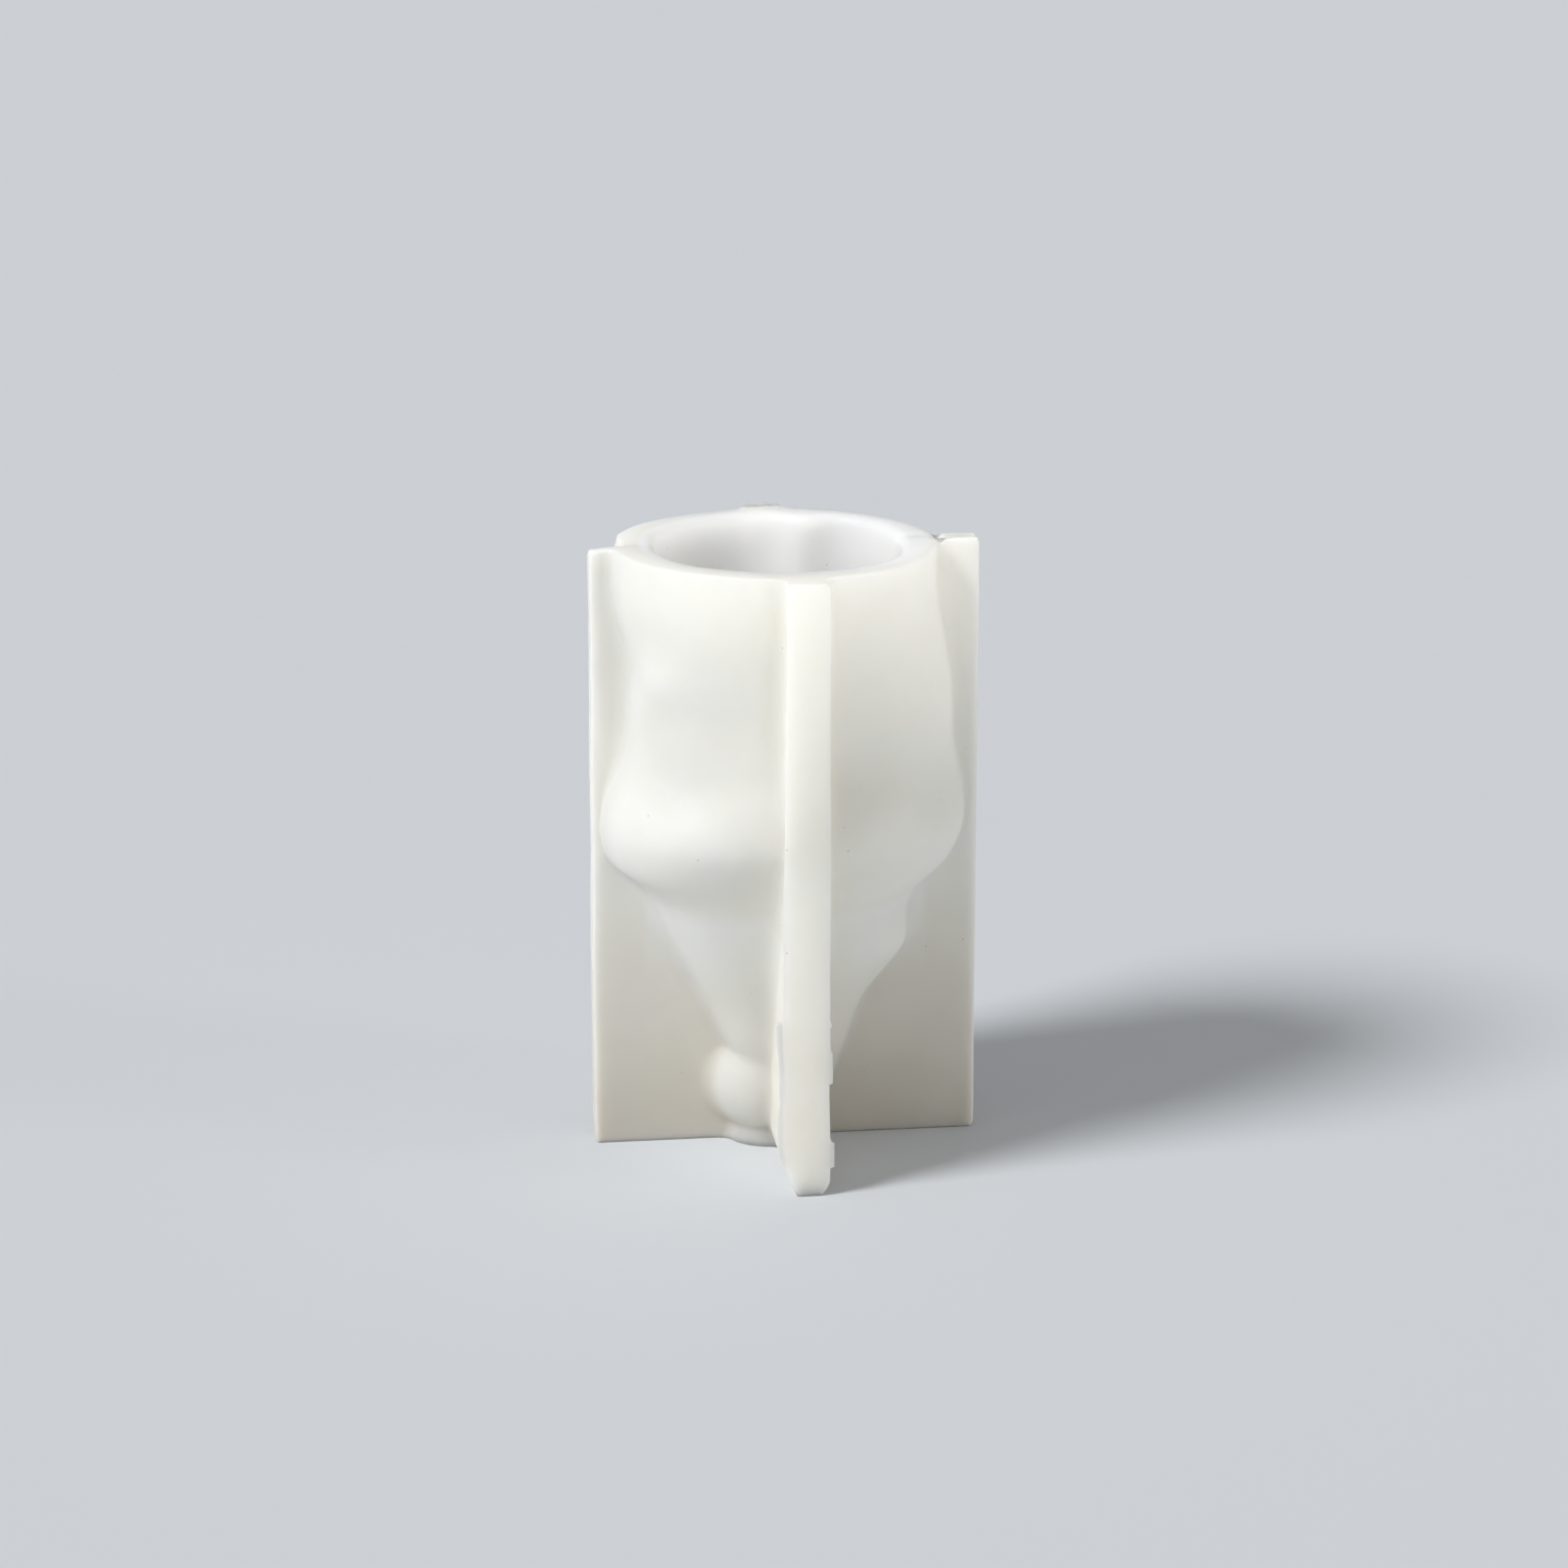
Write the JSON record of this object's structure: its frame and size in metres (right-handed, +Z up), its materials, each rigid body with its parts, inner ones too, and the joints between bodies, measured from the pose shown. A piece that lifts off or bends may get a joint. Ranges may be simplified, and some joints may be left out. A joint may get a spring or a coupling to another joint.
{
  "type": "slit silicone casting mould",
  "caption": "Finned soft casting mould for a small pointed-hat figure, slit down one side so that the front half swings open on an uncut skin.",
  "frame": {"origin": "centre of the bounding box at the height of the bench, midway between opposite fins", "axes": "+Z up to the pouring mouth, -Y to the front fin, +X to the side that stays joined"},
  "size_m": [0.063, 0.062, 0.1],
  "materials": {
    "silicone": "translucent satin casting silicone"
  },
  "bodies": {
    "rear_half": {"rear_shell": "silicone", "rear_ball_cup": "silicone", "rear_fin": "silicone", "left_fin_rear_leaf": "silicone", "right_fin_rear_leaf": "silicone", "rear_foot_pad": "silicone", "rear_fin_flash": "silicone", "hinge_skin": "silicone"},
    "front_half": {"front_shell": "silicone", "front_ball_cup": "silicone", "front_fin": "silicone", "left_fin_front_leaf": "silicone", "right_fin_front_leaf": "silicone", "front_foot_pad": "silicone", "front_fin_flash": "silicone"}
  },
  "joints": [
    {"name": "front_half_swing", "type": "hinge", "parent": "rear_half", "child": "front_half", "pos_m": [0.0305, 0, 0.05], "axis": [0, 0, 1], "range_deg": [0, 120], "stiffness_Nm_per_rad": 0.01}
  ]
}
